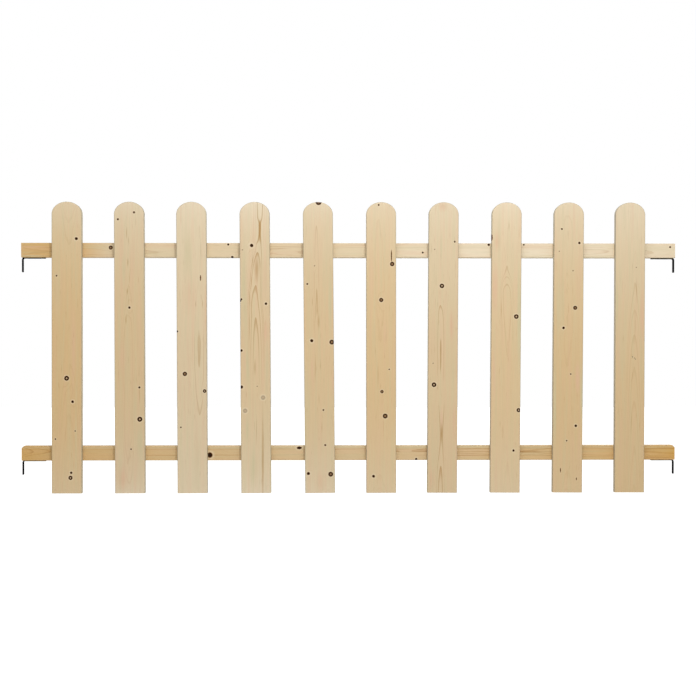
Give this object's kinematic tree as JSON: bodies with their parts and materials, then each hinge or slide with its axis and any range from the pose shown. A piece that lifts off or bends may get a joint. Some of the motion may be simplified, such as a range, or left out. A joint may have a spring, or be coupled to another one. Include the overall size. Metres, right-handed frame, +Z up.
{
  "type": "wooden picket fence panel",
  "caption": "Flat wooden picket fence panel: round-topped upright boards on two rails, with black steel angle brackets under the rail ends for fixing it between posts.",
  "frame": {"origin": "on the outer face of the lower left bracket's hanging leg, midway between its two screw holes", "axes": "+X along the rails, left to right as seen from the front; +Z up; -Y out of the front, on the pickets' side"},
  "size_m": [1.8, 0.046, 0.7973],
  "materials": {
    "picket_wood": "planed, untreated",
    "rail_wood": "planed, untreated",
    "bracket_steel": "black coated",
    "screw_steel": "zinc plated"
  },
  "bodies": {
    "root": {"picket_01": "picket_wood", "picket_02": "picket_wood", "picket_03": "picket_wood", "picket_04": "picket_wood", "picket_05": "picket_wood", "picket_06": "picket_wood", "picket_07": "picket_wood", "picket_08": "picket_wood", "picket_09": "picket_wood", "picket_10": "picket_wood", "picket_01_screws": "screw_steel", "picket_02_screws": "screw_steel", "picket_03_screws": "screw_steel", "picket_04_screws": "screw_steel", "picket_05_screws": "screw_steel", "picket_06_screws": "screw_steel", "picket_07_screws": "screw_steel", "picket_08_screws": "screw_steel", "picket_09_screws": "screw_steel", "picket_10_screws": "screw_steel", "upper_rail": "rail_wood", "lower_rail": "rail_wood", "lower_left_bracket": "bracket_steel", "lower_left_bracket_screws": "screw_steel", "lower_right_bracket": "bracket_steel", "lower_right_bracket_screws": "screw_steel", "upper_left_bracket": "bracket_steel", "upper_left_bracket_screws": "screw_steel", "upper_right_bracket": "bracket_steel", "upper_right_bracket_screws": "screw_steel"}
  },
  "joints": []
}
